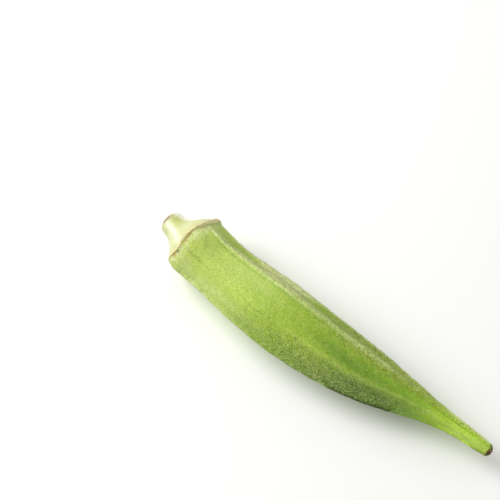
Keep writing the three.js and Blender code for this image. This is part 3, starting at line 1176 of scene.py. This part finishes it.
tipCrust = {
    "columns": 96,
    "rows": 12,
    "startRow": 111.5,
    "lean": 0.5,
    "leanAngle": 60,
    "shares": (0.75, 0.5, 0.28, 0.08),
    "liftFrom": 108.5,
    "height": 0.15,
    "foot": 0.1,  # how deep its edge is set into the skin
    "clear": 0.02,
    "grains": (0.5, 0.225),
    "seed": 41,
}


def makeTipCrust():
    # the dried remnant of the flower at the tip
    shape = tipCrust
    columns = shape["columns"]
    shareGrid, angleGrid = gridOf(np.linspace(0, 1, shape["rows"]), ringAngles(columns))
    start = shape["startRow"] + shape["lean"] * np.cos(angleGrid - math.radians(shape["leanAngle"]))
    points, _ = skinAt(start + (pod["length"] - start) * shareGrid, angleGrid)
    end, middle = points[-columns:], points[-columns:].mean(0)
    points = np.concatenate([points] + [middle + (end - middle) * share for share in shape["shares"]])
    shareGrid = np.append(shareGrid, np.ones(len(shape["shares"]) * columns))
    away = unit(points - middleAt(np.array([shape["liftFrom"]])))
    rough = roughNoise(points, *shape["grains"], shape["seed"])
    share = smoothStep(0, 0.6, shareGrid)
    lift = shape["height"] * (rough + 0.1) * (0.4 + 0.6 * share)
    lift += shape["clear"] - shape["foot"] * (1 - share)
    points = points + away * lift[:, None]
    piece = podPiece("tipCrust", points, tubeFaces(len(points) // columns, columns, False), [dryTip])
    paint(piece, "straight", points)
    paint(piece, "edge", smoothStep(0.3, -0.5, rough))
    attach(piece, "root")


makeScarMembrane()
makeTipCrust()
print("scar and tip made")


# rows are where the hairs grow, and chance says how many stay on bare skin and how many more on fuzz
hairCoats = {
    "ribHairs": {
        "rows": (11.2, 110.5), "count": 26000, "tries": 14, "chance": (0, 1),
        "length": 0.34, "width": 0.045, "seed": 51,
    },
    "facetHairs": {
        "rows": (11.2, 110.5), "count": 15000, "tries": 3, "chance": (0.4, 0.2),
        "length": 0.22, "width": 0.04, "seed": 52,
    },
    "capHairs": {
        "rows": (0.8, 10.2), "count": 90, "tries": 3, "chance": (0.4, 0.2),
        "length": 0.8, "width": 0.028, "seed": 53,
    },
}
hairGrowth = {
    "lean": 0.35,  # towards the tip
    "sway": 0.45,  # any way
    "lengths": (0.5, 1.3),  # as shares of the coat's length
    "rootDepth": 0.03,
    "rootClear": 0.04,  # of what the pod lies on
    "tipClear": 0.02,
}


def makeHairs(name, coat):
    # short stiff hairs, each a thin three-sided spike rooted in the skin
    draw = np.random.default_rng(coat["seed"])
    tries = coat["count"] * coat["tries"]
    rows = draw.uniform(*coat["rows"], tries)
    angles = draw.uniform(0, 2 * math.pi, tries)
    bare, fuzzy = coat["chance"]
    chance = plainRadiusAt(rows) / pod["bellyRadius"] * (bare + fuzzy * ribFuzzAt(rows, angles))
    kept = np.flatnonzero(draw.uniform(0, 1, tries) < chance)[:coat["count"]]
    rows, angles = rows[kept], angles[kept]

    root, places = skinAt(rows, angles)
    step = 0.15
    turn = step / plainRadiusAt(places)
    alongSkin = unit(skinAt(rows + step, angles)[0] - skinAt(rows - step, angles)[0])
    roundSkin = unit(skinAt(rows, angles + turn)[0] - skinAt(rows, angles - turn)[0])
    normal = unit(np.cross(roundSkin, alongSkin))
    normal *= np.sign(np.sum(normal * outwardAt(places, angles), axis=1))[:, None]
    count = len(rows)
    sway = draw.normal(0, hairGrowth["sway"], (count, 2))
    direction = unit(normal + alongSkin * (hairGrowth["lean"] + sway[:, :1]) + roundSkin * sway[:, 1:])
    length = coat["length"] * draw.uniform(*hairGrowth["lengths"], count)
    tip = root + direction * length[:, None]
    spin = draw.uniform(0, 2 * math.pi, count)
    corners = []
    for third in range(3):
        a = (spin + third * 2 * math.pi / 3)[:, None]
        reach = (alongSkin * np.cos(a) + roundSkin * np.sin(a)) * coat["width"] / 2
        corners.append(root - normal * hairGrowth["rootDepth"] + reach)
    clear = (tip[:, 2] > hairGrowth["tipClear"]) & (root[:, 2] > hairGrowth["rootClear"])
    points = np.stack(corners + [tip], 1)[clear].reshape(-1, 3)
    points[:, 2] = np.maximum(points[:, 2], 0.0)
    first = np.arange(int(clear.sum()))[:, None] * 4
    faces = np.concatenate([first + [0, 1, 3], first + [1, 2, 3], first + [2, 0, 3]], 1).reshape(-1, 3)
    piece = podPiece(name, points, faces.tolist(), [hairFibre])
    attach(piece, "root")


for coatName, coat in hairCoats.items():
    makeHairs(coatName, coat)
print("hairs made")


studio = {
    "floorSize": 6.0,
    "floorColour": (0.93, 0.93, 0.92, 1),
    "floorRoughness": 0.9,
    "worldColour": (1.0, 0.99, 0.97, 1),
    "worldStrength": 0.53,
    "keyFrom": (-0.8, -0.12, 0.62),
    "keyDistance": 0.7,
    "keySize": 0.6,
    "keyPower": 5.4,
    "cameraFrom": (0.27099777, -0.35702638, 0.89391967),
    "cameraDistance": 0.4179,
    "cameraTarget": (-0.03425, 0.01404, 0.0),
    "cameraLens": 102.1,
    "cameraClip": (0.01, 20),
}


def makeFloor():
    material = plainMaterial("paleFloor", studio["floorColour"], studio["floorRoughness"])
    corners = np.array([[-1, -1, 0], [1, -1, 0], [1, 1, 0], [-1, 1, 0]]) * studio["floorSize"] / 2
    floor = meshObject("floor", corners, [(0, 1, 2, 3)], [material], smooth=False)


def placed(name, data, target, direction, distance):
    # looks back along the direction at the target
    away = Vector(direction).normalized()
    thing = bpy.data.objects.new(name, data)
    thing.location = Vector(target) + away * distance
    thing.rotation_euler = away.to_track_quat("Z", "Y").to_euler()
    bpy.context.scene.collection.objects.link(thing)
    return thing


def makeStudio():
    scene = bpy.context.scene
    scene.view_settings.view_transform = "Standard"
    world = bpy.data.worlds.new("studioWorld")
    scene.world = world
    world.use_nodes = True
    background = world.node_tree.nodes["Background"].inputs
    background["Color"].default_value = studio["worldColour"]
    background["Strength"].default_value = studio["worldStrength"]

    lamp = bpy.data.lights.new("keyLight", "AREA")
    lamp.shape = "DISK"
    lamp.size = studio["keySize"]
    lamp.energy = studio["keyPower"]
    placed("keyLight", lamp, (0, 0, 0), studio["keyFrom"], studio["keyDistance"])

    lens = bpy.data.cameras.new("camera")
    lens.lens = studio["cameraLens"]
    lens.clip_start, lens.clip_end = studio["cameraClip"]
    target, direction = studio["cameraTarget"], studio["cameraFrom"]
    scene.camera = placed("camera", lens, target, direction, studio["cameraDistance"])


makeFloor()
makeStudio()
print("studio made")
